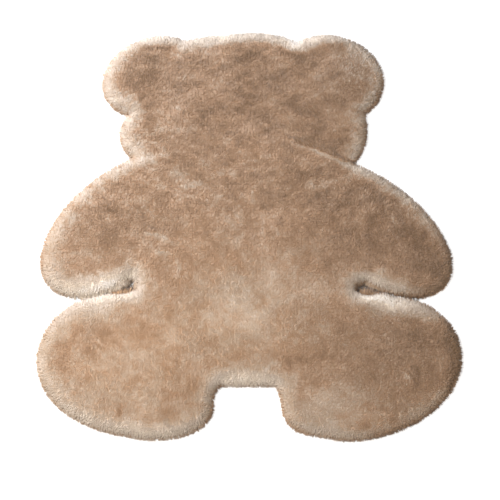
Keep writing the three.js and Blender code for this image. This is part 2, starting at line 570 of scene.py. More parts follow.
PATCHES = (
    Patch("forehead", -0.03, 0.40, 0.30, 0.17, -0.10),
    Patch("left ear", -0.275, 0.415, 0.055, 0.06, -0.17),
    Patch("left ear, dark spot", -0.290, 0.443, 0.018, 0.014, -0.16),
    Patch("left ear, second dark spot", -0.243, 0.440, 0.018, 0.011, -0.16),
    Patch("left ear, dark line", -0.225, 0.474, 0.036, 0.006, -0.22),
    Patch("left ear, lower spot", -0.304, 0.380, 0.012, 0.016, -0.10),
    Patch("left ear, pale spot", -0.268, 0.413, 0.016, 0.007, 0.08),
    Patch("left ear, second pale spot", -0.205, 0.416, 0.026, 0.008, 0.07),
    Patch("right ear", 0.275, 0.40, 0.05, 0.06, 0.03),
    Patch("chest", -0.02, 0.08, 0.20, 0.14, -0.03),
    Patch("belly", 0.0, -0.20, 0.20, 0.20, 0.11),
    Patch("left foot", -0.28, -0.34, 0.18, 0.14, 0.03),
    Patch("left foot, lower part", -0.25, -0.44, 0.16, 0.05, 0.07),
    Patch("right foot", 0.30, -0.34, 0.18, 0.14, -0.04),
    Patch("right foot, lower part", 0.20, -0.45, 0.14, 0.05, 0.12),
    Patch("left leg, outer spot", -0.434, -0.317, 0.020, 0.025, -0.10),
    Patch("left leg, upper part", -0.350, -0.228, 0.075, 0.026, 0.17),
    Patch("left foot, smudge", -0.283, -0.462, 0.006, 0.013, -0.16),
    Patch("left foot, light spot", -0.218, -0.451, 0.024, 0.018, 0.07),
    Patch("right leg, upper part", 0.325, -0.222, 0.055, 0.022, 0.26),
    Patch("right leg, upper spot", 0.392, -0.286, 0.035, 0.030, -0.12),
    Patch("left arm", -0.33, 0.0, 0.14, 0.14, -0.04),
    Patch("left armpit, pale spot", -0.189, -0.051, 0.015, 0.009, 0.10),
    Patch("left armpit, lower pale spot", -0.194, -0.078, 0.015, 0.007, 0.08),
    Patch("right arm", 0.34, 0.0, 0.14, 0.16, -0.16),
    Patch("right arm, outer shade", 0.415, -0.058, 0.035, 0.045, -0.10),
    Patch("right arm, lower spot", 0.415, -0.128, 0.035, 0.022, -0.10),
)

SPECKLED = (
    Patch("left ear", -0.270, 0.42, 0.08, 0.09, 0.04),
    Patch("right ear", 0.280, 0.40, 0.08, 0.09, 0.08),
    Patch("left arm", -0.340, 0.00, 0.12, 0.14, 0.03),
    Patch("right arm", 0.360, -0.02, 0.13, 0.15, 0.055),
    Patch("right leg", 0.320, -0.33, 0.18, 0.14, 0.055),
)

CALM = (
    Patch("belly", -0.02, -0.24, 0.17, 0.16, 0.45),
    Patch("left leg", -0.28, -0.33, 0.16, 0.15, 0.45),
)

# Tones added near the edge: painted highlights where they are positive and painted shade where they are
# negative, the darker ones on the right, away from the light. The pale fur under the left arm is partly
# the fur's own paleness.
RIM_LIGHT_AND_SHADE = (
    Patch("crown", 0.0, 0.53, 0.35, 0.06, 0.10),
    Patch("left ear, outside", -0.335, 0.40, 0.030, 0.080, 0.10),
    Patch("left cheek, outside", -0.300, 0.23, 0.030, 0.060, 0.12),
    Patch("by the right ear", 0.115, 0.478, 0.035, 0.030, 0.26),
    Patch("under the left arm", -0.355, -0.150, 0.090, 0.040, 0.33),
    Patch("top of the left leg", -0.335, -0.238, 0.100, 0.045, 0.04),
    Patch("end of the left slit", -0.250, -0.185, 0.035, 0.045, 0.04),
    Patch("under the right arm", 0.300, -0.145, 0.060, 0.030, 0.07),
    Patch("under the right arm, outside", 0.420, -0.150, 0.060, 0.050, -0.36),
    Patch("top of the right leg", 0.305, -0.212, 0.058, 0.034, 0.34),
    Patch("top of the right leg, outside", 0.390, -0.233, 0.050, 0.030, 0.14),
    Patch("left leg, outside", -0.490, -0.320, 0.050, 0.110, 0.10),
    Patch("between the feet", 0.0, -0.385, 0.09, 0.05, 0.14),
    Patch("left foot, underneath", -0.24, -0.46, 0.16, 0.05, 0.08),
    Patch("right foot, underneath", 0.30, -0.48, 0.13, 0.06, -0.26),
    Patch("right leg, outside", 0.49, -0.33, 0.06, 0.12, -0.72),
    Patch("right arm, outside", 0.48, -0.03, 0.05, 0.13, -0.18),
)

# Where a line's dark tone is below zero it is painted shade in the parting; its light tone, where above
# zero, is partly paler roots that show and partly a painted highlight. On the right thigh and in the
# crease of the right foot both are below zero: a broad painted shadow.
RUFFLES = (
    Ruffle(
        "neck, right", (0.074, 0.224), (0.172, 0.188), (0.270, 0.134),
        width=0.012, lean=0.003, ridge=0.0011, dark=-0.32, light=0.24,
    ),
    Ruffle(
        "neck, left", (-0.285, 0.145), (-0.242, 0.156), (-0.195, 0.170),
        width=0.014, lean=0.002, ridge=0.0008, dark=0.05, light=0.10,
    ),
    Ruffle(
        "right thigh", (0.043, -0.358), (0.110, -0.330), (0.193, -0.322),
        width=0.030, lean=0.001, ridge=0.0, dark=-0.04, light=-0.12,
    ),
    Ruffle(
        "left armpit", (-0.255, -0.032), (-0.215, -0.032), (-0.180, -0.052),
        width=0.012, lean=0.002, ridge=0.0012, dark=-0.12, light=0.20,
    ),
    Ruffle(
        "left armpit, lower", (-0.220, -0.077), (-0.200, -0.078), (-0.179, -0.083),
        width=0.010, lean=0.002, ridge=0.001, dark=-0.10, light=0.18,
    ),
    Ruffle(
        "left flank", (-0.170, -0.088), (-0.154, -0.118), (-0.163, -0.148),
        width=0.011, lean=0.001, ridge=0.0008, dark=-0.04, light=0.13,
    ),
    Ruffle(
        "right foot", (0.350, -0.363), (0.361, -0.373), (0.372, -0.387),
        width=0.008, lean=0.002, ridge=0.001, dark=-0.18, light=0.25,
    ),
    Ruffle(
        "right foot, crease", (0.374, -0.352), (0.384, -0.375), (0.373, -0.410),
        width=0.010, lean=0.001, ridge=0.0, dark=-0.14, light=-0.08,
    ),
    Ruffle(
        "right arm", (0.360, 0.016), (0.351, 0.003), (0.361, -0.012),
        width=0.008, lean=0.002, ridge=0.0008, dark=0.06, light=0.22,
    ),
)


@dataclass
class Tufts:
    """Small tufts into which the curled fur gathers, on an uneven grid."""

    pitch: float = 7.6 * MM
    unevenness: float = 0.38
    seed: int = 11
    cells: int = 220

    def __post_init__(self) -> None:
        """Draws each tuft's place, lean, height and tone."""
        rng = np.random.default_rng(self.seed)
        size = (self.cells, self.cells)
        self.shift_x = rng.uniform(-self.unevenness, self.unevenness, size)
        self.shift_y = rng.uniform(-self.unevenness, self.unevenness, size)
        self.lean_x = rng.normal(0, 1, size)
        self.lean_y = rng.normal(0, 1, size)
        self.height = rng.normal(0, 1, size)
        self.tone = rng.normal(0, 1, size)

    def nearest(self, x: Array, y: Array) -> dict[str, Array]:
        """Finds the tuft that each lock belongs to.

        Args:
            x: places across the rug.
            y: places along the rug.

        Returns:
            The tuft's middle, distance and drawn values for each place.
        """
        column = np.floor(x / self.pitch + self.cells / 2).astype(int)
        row = np.floor(y / self.pitch + self.cells / 2).astype(int)
        best = np.full(len(x), 1e9)
        picked_row, picked_column = row.copy(), column.copy()
        centre_x, centre_y = x.copy(), y.copy()
        for step_row in (-1, 0, 1):
            for step_column in (-1, 0, 1):
                r, c = row + step_row, column + step_column
                cx = (c + 0.5 - self.cells / 2 + self.shift_x[r, c]) * self.pitch
                cy = (r + 0.5 - self.cells / 2 + self.shift_y[r, c]) * self.pitch
                far = np.hypot(x - cx, y - cy)
                nearer = far < best
                best = np.where(nearer, far, best)
                picked_row = np.where(nearer, r, picked_row)
                picked_column = np.where(nearer, c, picked_column)
                centre_x = np.where(nearer, cx, centre_x)
                centre_y = np.where(nearer, cy, centre_y)
        at = (picked_row, picked_column)
        return {
            "x": centre_x,
            "y": centre_y,
            "far": best / self.pitch,
            "lean_x": self.lean_x[at],
            "lean_y": self.lean_y[at],
            "height": self.height[at],
            "tone": self.tone[at],
        }


@dataclass
class Coat:
    """Tone and lean of the fur at every place, shared by the locks and the bed.

    The border's drops and widths are those all round, those added on the left and those added
    on the side away from the light, where the border is painted shade.
    """

    base_tone: float = 0.405
    darkest: float = 0.11
    softest: tuple = (0.05, 0.55)
    soft_rim: tuple = (0.10, 0.25)
    rim_tone: float = 0.65
    # rim_top, rim_foot, rim_left and rim_right: painted light and shade by the way the rim faces.
    rim_top: float = 0.09
    rim_foot: float = 0.095
    rim_left: float = 0.065
    rim_right: float = 0.09
    rim_width: float = 34 * MM
    rim_full: float = 0.3
    rim_full_top: float = 0.34
    rim_ends: float = 1.5
    rim_unevenness: float = 0.42
    rim_evener_top: float = 0.6
    rim_waves: Waves = Waves(SoftNoise(8, 0.035), SoftNoise(9, 0.014))
    top_narrowing: float = 0.16
    left_widening: float = 0.22
    painted_rim_from: float = 4 * MM
    painted_rim_width: float = 58 * MM
    calm_share: float = 0.52
    calm_below: float = -0.02
    calm_blend: float = 0.08
    calm_rim: float = 0.3
    border_drop: tuple = (0.10, 0.20, 0.60)
    border_width: tuple = (3 * MM, 6 * MM, 2 * MM)
    border_shade_way: tuple = (0.90, -0.42)
    border_power: float = 2.5
    broad: float = 0.05
    blotchy: float = 0.09
    mottled: float = 0.10
    speckled: float = 0.03
    shades: SoftNoise = SoftNoise(3, 0.09)
    blotches: SoftNoise = SoftNoise(5, 0.03)
    mottles: SoftNoise = SoftNoise(6, 0.012)
    head_starts: float = 0.12
    head_blend: float = 0.1
    head_stretch: float = 0.8
    brushed: tuple = (0.3 * MM, 2.0 * MM)
    sway: Waves = Waves(SoftNoise(21, 0.06), SoftNoise(22, 0.02), (1.6 * MM, 1.1 * MM))
    sweep: Waves = Waves(SoftNoise(23, 0.06), SoftNoise(24, 0.02), (1.6 * MM, 1.1 * MM))
    tufts: Tufts = field(default_factory=Tufts)

    def liveliness(self, y: Array) -> Array:
        """How uneven the fur is at each place: 1 on the head and arms, less on the legs."""
        low, high = -self.calm_below - self.calm_blend, -self.calm_below + self.calm_blend
        return 1 - (1 - self.calm_share) * self.smooth(-y, low, high)

    def speckle(self, x: Array, y: Array) -> Array:
        """How much the tone differs from lock to lock."""
        return self.speckled * self.liveliness(y) + sum(p.tone * p.share(x, y) for p in SPECKLED)

    def softness(self, x: Array, y: Array) -> Array:
        """How softly the light plays over the single locks of the top, from 0 to 1."""
        calm = sum(patch.tone * patch.share(x, y) for patch in CALM)
        return np.clip(self.softest[0] + calm, 0, self.softest[1])

    def rim_softness(self, outward: Array) -> Array:
        """How softly the light plays over the single locks of the rim, from 0 to 1."""
        return self.soft_rim[0] + self.soft_rim[1] * np.maximum(-outward[:, 0], 0)

    def tone(self, x: Array, y: Array, inset: Array, outward: Array) -> Array:
        """How light the fur is.

        Args:
            x: places across the rug.
            y: places along the rug.
            inset: distances from the outline.
            outward: directions out of the rug.

        Returns:
            Tones from 0, dark, to 1, cream.
        """
        tone = self.base_tone + self.broad * self.shades.at(x, y)
        for patch in PATCHES:
            tone = tone + patch.tone * patch.share(x, y)
        rim, pale = self.rim(x, y, inset, outward)
        tone = tone + (pale - tone) * rim + self.mottling(x, y) * (1 - self.calm_rim * rim)
        # Painted shade and highlights along the partings and creases, partly paler roots.
        for ruffle in RUFFLES:
            line = ruffle.offsets(x, y)
            low, high = ruffle.shares(line["signed"])
            tone[line["near"]] += line["fade"] * (ruffle.dark * low + ruffle.light * high)
        # Painted highlights and shade along the rim, fading in from the edge.
        spread = 1 - self.smooth(inset, self.painted_rim_from, self.painted_rim_width)
        for painted_rim in RIM_LIGHT_AND_SHADE:
            tone = tone + painted_rim.tone * painted_rim.share(x, y) * spread
        return tone

    def mottling(self, x: Array, y: Array) -> Array:
        """The unevenness of the tone, drawn out sideways on the head and less on the legs.

        Args:
            x: places across the rug.
            y: places along the rug.

        Returns:
            What is added to the tone.
        """
        lively = self.liveliness(y)
        low, high = self.head_starts - self.head_blend, self.head_starts + self.head_blend
        stretch = 1 + self.head_stretch * self.smooth(y, low, high)
        blotches = self.blotchy * lively * self.blotches.at(x / stretch, y)
        return blotches + self.mottled * lively * self.mottles.at(x / stretch, y)

    def rim(self, x: Array, y: Array, inset: Array, outward: Array) -> tuple[Array, Array]:
        """Where the sides of the pile show along the rim, and how pale they are.

        Args:
            x: places across the rug.
            y: places along the rug.
            inset: distances from the outline.
            outward: directions out of the rug.

        Returns:
            How strongly the rim shows, from 0 to 1, and its tone.
        """
        head_side = np.maximum(outward[:, 1], 0) ** 4
        left_side = np.maximum(-outward[:, 0], 0)
        uneven = self.rim_unevenness * self.rim_waves.at(x, y) * (1 - self.rim_evener_top * head_side)
        width = self.rim_width * (1 + uneven) * (1 - self.top_narrowing * head_side)
        width = width * (1 + self.left_widening * left_side)
        full = self.rim_full + self.rim_full_top * head_side
        share = 1 - self.smooth(inset, full * width, self.rim_ends * width)
        # The rim's tone changes with the way it faces, lighter towards the head and the feet and darker
        # on the left and the right: painted light and shade.
        pale = self.rim_tone + self.rim_top * head_side
        pale = pale + self.rim_foot * np.maximum(-outward[:, 1], 0)
        pale = pale - self.rim_left * left_side
        return share, pale - self.rim_right * np.maximum(outward[:, 0], 0)

    def border(self, left: Array, outward: Array) -> Array:
        """How much darker a lock is when its tip ends close to the edge: partly the darker hairs of
        the very edge and partly painted shade, strongest on the side away from the light.

        Args:
            left: distances of the tips from the edge.
            outward: directions out of the rug.

        Returns:
            What is taken off the tone.
        """
        # Painted shade, most of it on the side away from the light.
        facing = np.clip(0.5 + 0.5 * (outward @ np.array(self.border_shade_way)), 0, 1)
        away_from_light = facing**self.border_power
        left_side = np.maximum(-outward[:, 0], 0)
        drop = self.border_drop[0] * (1 + np.maximum(outward[:, 1], 0))
        drop = drop + self.border_drop[1] * left_side + self.border_drop[2] * away_from_light
        width = self.border_width[0] + self.border_width[1] * left_side
        width = width + self.border_width[2] * away_from_light
        return drop * np.exp(-np.maximum(left, 0) / width)

    def nap(self, x: Array, y: Array) -> tuple[Array, Array, Array]:
        """How the tips are moved by brushing.

        Args:
            x: places across the rug.
            y: places along the rug.

        Returns:
            How far they lean across and along, and how much higher they stand.
        """
        lean_x = self.brushed[0] + self.sway.at(x, y)
        lean_y = self.brushed[1] + self.sweep.at(x, y)
        rise = np.zeros(len(x))
        for ruffle in RUFFLES:
            line = ruffle.offsets(x, y)
            near = line["near"]
            low, high = ruffle.shares(line["signed"])
            share = line["fade"] * ruffle.lean * np.exp(-((line["signed"] / ruffle.width) ** 2))
            lean_x[near] += share * line["away_x"]
            lean_y[near] += share * line["away_y"]
            rise[near] += line["fade"] * ruffle.ridge * (high - low)
        return lean_x, lean_y, rise

    @staticmethod
    def smooth(value: Array, low: Array | float, high: Array | float) -> Array:
        """A smooth step from 0 at low to 1 at high."""
        t = np.clip((value - low) / (high - low), 0, 1)
        return t * t * (3 - 2 * t)


# ---- The ground under the fur ------------------------------------------------------------


class RugSolid:
    """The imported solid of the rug: its height at a place and its outline."""

    def __init__(self, node: bpy.types.Object, cut_height: float = 15 * MM, step: float = 2 * MM) -> None:
        """Reads the solid.

        Args:
            node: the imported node.
            cut_height: height of the section that gives the outline, above the rim's locks.
            step: distance between the outline's points.
        """
        self.cut_height = cut_height
        solid = bmesh.new()
        solid.from_mesh(node.data)
        bmesh.ops.remove_doubles(solid, verts=solid.verts, dist=WELD)
        solid.normal_update()
        self.surface = BVHTree.FromBMesh(solid)
        self.top = max(v.co.z for v in solid.verts)
        parts = solid.verts[:] + solid.edges[:] + solid.faces[:]
        cut = bmesh.ops.bisect_plane(solid, geom=parts, plane_co=(0, 0, cut_height), plane_no=(0, 0, 1))
        edges = [e for e in cut["geom_cut"] if isinstance(e, bmesh.types.BMEdge)]
        points, normals = [], []
        for edge in edges:
            a, b = (v.co.copy() for v in edge.verts)
            out = edge.link_faces[0].normal
            out = Vector((out.x, out.y, 0)).normalized()
            count = max(1, math.ceil((b - a).length / step))
            for i in range(count):
                points.append(a.lerp(b, (i + 0.5) / count))
                normals.append(out)
        solid.free()
        self.outline = np.array([p[:2] for p in points])
        self.tree = KDTree(len(points))
        for i, point in enumerate(points):
            self.tree.insert((point.x, point.y, 0), i)
        self.tree.balance()
        self.outward = self.evened(np.array([n[:2] for n in normals]))

    def evened(self, normals: Array, reach: float = 6 * MM, most_turned: float = -0.5) -> Array:
        """Evens out the directions, so that they turn gradually round the corners.

        Args:
            normals: directions square to each piece of the outline.
            reach: how far the evening reaches.
            most_turned: least agreement with a direction that counts, which leaves out the
                far side of a slit.

        Returns:
            One direction out of the rug for each point of the outline.
        """
        out = np.empty_like(normals)
        for i, (px, py) in enumerate(self.outline.tolist()):
            near = [found[1] for found in self.tree.find_range((px, py, 0), reach)]
            same_side = normals[near] @ normals[i] > most_turned
            out[i] = normals[near][same_side].sum(0)
        return out / np.maximum(np.linalg.norm(out, axis=1, keepdims=True), 1e-9)

    def heights(self, x: Array, y: Array) -> Array:
        """The pile's height at each place, and nan outside the rug."""
        return heights_on(self.surface, x, y)

    def inset(self, x: Array, y: Array) -> tuple[Array, Array]:
        """Distances from places to the outline.

        Args:
            x: places across the rug.
            y: places along the rug.

        Returns:
            The distances, negative outside it, and for each place the direction out of the rug.
        """
        found = [self.tree.find((px, py, 0))[1] for px, py in zip(x.tolist(), y.tolist())]
        away = self.outline[found] - np.stack([x, y], 1)
        inside = np.nan_to_num(self.heights(x, y)) > self.cut_height
        return np.hypot(*away.T) * np.where(inside, 1, -1), self.outward[found]


def heights_on(surface: BVHTree, x: Array, y: Array) -> Array:
    """Heights of a surface seen from above.

    Args:
        surface: the surface's tree.
        x: places across.
        y: places along.

    Returns:
        The height at each place, and nan where there is nothing.
    """
    down = Vector((0, 0, -1))
    out = np.full(len(x), np.nan)
    for i, (px, py) in enumerate(zip(x.tolist(), y.tolist())):
        hit = surface.ray_cast((px, py, 1), down)[0]
        if hit is not None:
            out[i] = hit.z
    return out


@dataclass
class PileBed:
    """The hide with the felted base of the pile, one closed sheet under all the locks."""

    solid: RugSolid
    coat: Coat
    voxel: float = 6.5 * MM
    draw_in: float = 5 * MM
    height_share: float = 0.79
    smoothing: int = 3
    thinnest: float = 0.8 * MM
    slit_closes: tuple = (-3 * MM, 1.5 * MM)
    outside_shade: float = 0.45
    outside_ends: tuple = (-2 * MM, 6 * MM)
    flat_width: float = 0.985
    flat_length: float = 1.05
    flat_area: float = 0.71
    surface: BVHTree | None = field(default=None, init=False)

    def build(self, node: bpy.types.Object, finish: BedFinish) -> bpy.types.Object:
        """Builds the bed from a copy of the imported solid, drawn in and down.

        Args:
            node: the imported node.
            finish: the bed's finish.

        Returns:
            The bed.
        """
        mesh = self.shape(self.remeshed(node))
        bed = bpy.data.objects.new("pile_bed", mesh)
        bpy.context.scene.collection.objects.link(bed)
        self.paint_tone(mesh)
        mesh.materials.append(finish.build())
        self.surface = BVHTree.FromPolygons(
            [v.co for v in mesh.vertices], [p.vertices for p in mesh.polygons]
        )
        return bed

    def remeshed(self, node: bpy.types.Object) -> bpy.types.Mesh:
        """An even quad skin over a copy of the node.

        Args:
            node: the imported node.

        Returns:
            The new mesh.
        """
        copy = bpy.data.objects.new("skin", node.data.copy())
        bpy.context.scene.collection.objects.link(copy)
        welded = bmesh.new()
        welded.from_mesh(copy.data)
        bmesh.ops.remove_doubles(welded, verts=welded.verts, dist=WELD)
        welded.to_mesh(copy.data)
        welded.free()
        skin = copy.modifiers.new("skin", "REMESH")
        skin.mode = "VOXEL"
        skin.voxel_size = self.voxel
        scene = bpy.context.evaluated_depsgraph_get()
        mesh = bpy.data.meshes.new_from_object(copy.evaluated_get(scene))
        bpy.data.objects.remove(copy)
        mesh.name = "pile_bed"
        mesh.materials.clear()
        return mesh

    def shape(self, mesh: bpy.types.Mesh) -> bpy.types.Mesh:
        """Draws the skin in and down, flattens its underside and closes it with one face.

        Args:
            mesh: the remeshed skin.

        Returns:
            The same mesh, shaped.
        """
        bed = bmesh.new()
        bed.from_mesh(mesh)
        under = [v for v in bed.verts if v.co.z < 0.5 * self.voxel]
        axes = {f"use_axis_{axis}": True for axis in "xyz"}
        for _ in range(self.smoothing):
            bmesh.ops.smooth_vert(bed, verts=bed.verts, factor=0.5, **axes)
        for vert in under:
            vert.co.z = 0
        bed.normal_update()
        moves = [Vector((v.normal.x, v.normal.y, 0)) * self.draw_in for v in bed.verts]
        for vert, move in zip(bed.verts, moves):
            vert.co -= move
            vert.co.z *= self.height_share
        self.open_slits(bed, under)
        flat = [f for f in bed.faces if all(v.co.z < 0.01 * MM for v in f.verts)]
        bmesh.ops.dissolve_faces(bed, faces=flat, use_verts=True)
        bmesh.ops.recalc_face_normals(bed, faces=bed.faces)
        for face in bed.faces:
            face.smooth = face.normal.z > -0.9
        bed.to_mesh(mesh)
        bed.free()
        return mesh

    def open_slits(self, bed: bmesh.types.BMesh, under: list[bmesh.types.BMVert]) -> None:
        """Takes the skin down to the floor where it bridges a slit.

        Args:
            bed: the skin.
            under: the points of its underside.
        """
        low = set(under)
        upper = [v for v in bed.verts if v not in low]
        places = np.array([v.co[:] for v in upper])
        x, y, _ = places.T
        inset, outward = self.solid.inset(x, y)
        share = Coat.smooth(inset - SlitPair.set_back(x, y, outward), *self.slit_closes)
        for vert, part in zip(upper, share.tolist()):
            vert.co.z = max(vert.co.z * part, self.thinnest)

    def paint_tone(self, mesh: bpy.types.Mesh) -> None:
        """Writes the coat's tone to the bed's points, darker near and past the outline, mostly where
        it bridges the slits: painted shade.

        Args:
            mesh: the bed's mesh.
        """
        places = np.empty(len(mesh.vertices) * 3)
        mesh.vertices.foreach_get("co", places)
        x, y, _ = places.reshape(-1, 3).T
        inset, outward = self.solid.inset(x, y)
        tone = self.coat.tone(x, y, inset, outward)
        # Painted shade where the bed reaches past the outline, mostly over the slits.
        tone = tone - self.outside_shade * (1 - Coat.smooth(inset, *self.outside_ends))
        layer = mesh.attributes.new("tone", "FLOAT", "POINT")
        layer.data.foreach_set("value", np.clip(tone, 0, 1).astype(np.float32))


# ---- Locks of fur ------------------------------------------------------------------------


@dataclass
class Locks:
    """Many tapering locks of three sides, as arrays with one row for each lock."""

    rings: list[Array]
    radii: list[Array]
    tips: Array
    tone: Array
    along: tuple
    soft: Array | None = None
    strip: float = 0.006

    def build(self, name: str, material: bpy.types.Material, seed: int) -> bpy.types.Object:
        """Makes one joined mesh of all the locks.

        Args:
            name: the piece's name.
            material: its finish.
            seed: sets how each lock is turned about itself.

        Returns:
            The new piece.
        """
        count, levels = len(self.tips), len(self.rings)
        places = np.empty((count, 3 * levels + 1, 3))
        side, front = self.cross_axes()
        spin = np.random.default_rng(seed).uniform(0, 2 * np.pi, count)
        for level, (centre, radius) in enumerate(zip(self.rings, self.radii)):
            for corner in range(3):
                angle = spin + corner * 2 * np.pi / 3
                ring = np.cos(angle)[:, None] * side + np.sin(angle)[:, None] * front
                places[:, 3 * level + corner] = centre + radius[:, None] * ring
        places[:, -1] = self.tips
        places[..., 2] = np.maximum(places[..., 2], 0)
        pattern, map_u, map_v = self.face_pattern(levels)
        faces = pattern[None] + (np.arange(count) * (3 * levels + 1))[:, None, None]
        mesh = bpy.data.meshes.new(name)
        mesh.vertices.add(places.size // 3)
        mesh.vertices.foreach_set("co", places.astype(np.float32).ravel())
        mesh.loops.add(faces.size)
        mesh.loops.foreach_set("vertex_index", faces.astype(np.int32).ravel())
        mesh.polygons.add(faces.size // 3)
        mesh.polygons.foreach_set("loop_start", np.arange(0, faces.size, 3, dtype=np.int32))
        mesh.update(calc_edges=True)
        layer = mesh.uv_layers.new(name=BAKE_MAP)
        tone = np.clip(self.tone, self.strip, 1 - self.strip)
        u = tone[:, None, None] + self.strip * map_u[None]
        v = np.broadcast_to(map_v[None], u.shape)
        layer.uv.foreach_set("vector", np.stack([u, v], -1).astype(np.float32).ravel())
        mesh.materials.append(material)
        if self.soft is not None:
            self.soften(mesh, 3 * levels + 1)
        piece = bpy.data.objects.new(name, mesh)
        bpy.context.scene.collection.objects.link(piece)
        return piece

    def soften(self, mesh: bpy.types.Mesh, corners: int) -> None:
        """Turns the shading of the locks part of the way up, so that they blend into one pile.

        Args:
            mesh: the mesh of the locks.
            corners: how many points each lock has.
        """
        normals = np.empty(len(mesh.vertices) * 3, dtype=np.float32)
        mesh.vertex_normals.foreach_get("vector", normals)
        share = np.repeat(self.soft, corners)[:, None]
        normals = normals.reshape(-1, 3) * (1 - share) + np.array([[0, 0, 1]]) * share
        normals = normals / np.maximum(np.linalg.norm(normals, axis=1, keepdims=True), 1e-6)
        mesh.normals_split_custom_set_from_vertices(normals.tolist())

    def part(self, chosen: Array) -> "Locks":
        """Picks some of the locks.

        Args:
            chosen: which locks to take.

        Returns:
            The chosen locks alone.
        """
        rings = [ring[chosen] for ring in self.rings]
        radii = [radius[chosen] for radius in self.radii]
        soft = None if self.soft is None else self.soft[chosen]
        return Locks(rings, radii, self.tips[chosen], self.tone[chosen], self.along, soft)

    def joined(self, other: "Locks") -> "Locks":
        """Puts these locks and others into one set.

        Args:
            other: locks with as many rings as these.

        Returns:
            All the locks.
        """
        rings = [np.concatenate(pair) for pair in zip(self.rings, other.rings)]
        radii = [np.concatenate(pair) for pair in zip(self.radii, other.radii)]
        tips = np.concatenate([self.tips, other.tips])
        tone = np.concatenate([self.tone, other.tone])
        soft = np.concatenate([self.soft, other.soft])
        return Locks(rings, radii, tips, tone, self.along, soft)

    def cross_axes(self) -> tuple[Array, Array]:
        """Finds two unit directions square to each lock.

        Returns:
            The directions to the side and to the front.
        """
        run = self.tips - self.rings[0]
        run = run / np.maximum(np.linalg.norm(run, axis=1, keepdims=True), 1e-9)
        steep = np.abs(run[:, 2:3]) > 0.9
        helper = np.where(steep, [[1.0, 0.0, 0.0]], [[0.0, 0.0, 1.0]])
        side = np.cross(helper, run)
        side = side / np.linalg.norm(side, axis=1, keepdims=True)
        return side, np.cross(run, side)

    def face_pattern(self, levels: int) -> tuple[Array, Array, Array]:
        """The triangles of one lock and their places on the map.

        Args:
            levels: how many rings of three corners the lock has under its tip.

        Returns:
            Corner numbers, and their map u and v, with a row for each triangle.
        """
        faces, u, v = [(0, 2, 1)], [(-0.5, 0.5, 0.0)], [(0.0, 0.0, 0.02)]
        for corner in range(3):
            after = (corner + 1) % 3
            left, right = corner / 3 - 0.5, (corner + 1) / 3 - 0.5
            for level in range(levels - 1):
                low, high = 3 * level, 3 * level + 3
                at, above = self.along[level], self.along[level + 1]
                faces.append((low + corner, low + after, high + after))
                u.append((left, right, right))
                v.append((at, at, above))
                faces.append((low + corner, high + after, high + corner))
                u.append((left, right, left))
                v.append((at, above, above))
            last = 3 * (levels - 1)
            faces.append((last + corner, last + after, 3 * levels))
            u.append((left, right, (left + right) / 2))
            v.append((self.along[levels - 1], self.along[levels - 1], 1.0))
        return np.array(faces), np.array(u), np.array(v)


def uneven_grid(pitch: float, seed: int, unevenness: float = 0.42) -> tuple[Array, Array]:
    """Places on an uneven grid over the whole rug.

    Args:
        pitch: mean distance between places.
        seed: sets the unevenness.
        unevenness: the furthest that a place is moved, in pitches.

    Returns:
        The places across and along.
    """
    rng = np.random.default_rng(seed)
    low, high = CAD_BOX
    columns = np.arange(low.x, high.x, pitch)
    rows = np.arange(low.y, high.y, pitch)
    x, y = np.meshgrid(columns, rows)
    x = x + np.where(np.arange(len(rows)) % 2, pitch / 2, 0)[:, None]
    x = x + rng.uniform(-unevenness, unevenness, x.shape) * pitch
    y = y + rng.uniform(-unevenness, unevenness, y.shape) * pitch
    return x.ravel(), y.ravel()


@dataclass(frozen=True)
class Slit:
    """A slit between an arm and a leg, where the fur of both sides meets."""

    name: str
    end: tuple
    mouth: tuple
    paleness: float
    # Tone of the painted shade down in the hollow at the slit's end.
    hollow_shade_tone: float
    softness: float
    width: float = 22 * MM
    hollow: float = 26 * MM
    set_back: float = 12 * MM
    facing: tuple = (-0.1, 0.4)

    def share(self, x: Array, y: Array) -> Array:
        """How strongly each place belongs to the slit.

        Args:
            x: places across the rug.
            y: places along the rug.

        Returns:
            Shares from 0 to 1.
        """
        end, run = np.array(self.end), np.array(self.mouth) - np.array(self.end)
        along = np.clip(((x - end[0]) * run[0] + (y - end[1]) * run[1]) / (run @ run), 0, 1)
        far = np.hypot(x - end[0] - along * run[0], y - end[1] - along * run[1])
        return np.exp(-((far / self.width) ** 2))

    def end_share(self, x: Array, y: Array) -> Array:
        """How strongly each place belongs to the hollow at the slit's end, from 0 to 1."""
        return np.exp(-(((x - self.end[0]) ** 2 + (y - self.end[1]) ** 2) / self.hollow**2))

    def leg_side(self, x: Array, y: Array, outward: Array) -> Array:
        """How strongly each place belongs to the leg's side of that hollow, from 0 to 1."""
        return self.end_share(x, y) * Coat.smooth(outward[:, 1], *self.facing)


SLITS = (
    Slit("left", (-0.290, -0.172), (-0.402, -0.197), 1.4, 0.18, 0.38),
    Slit("right", (0.283, -0.180), (0.420, -0.202), 0.0, 0.20, 0.0),
)


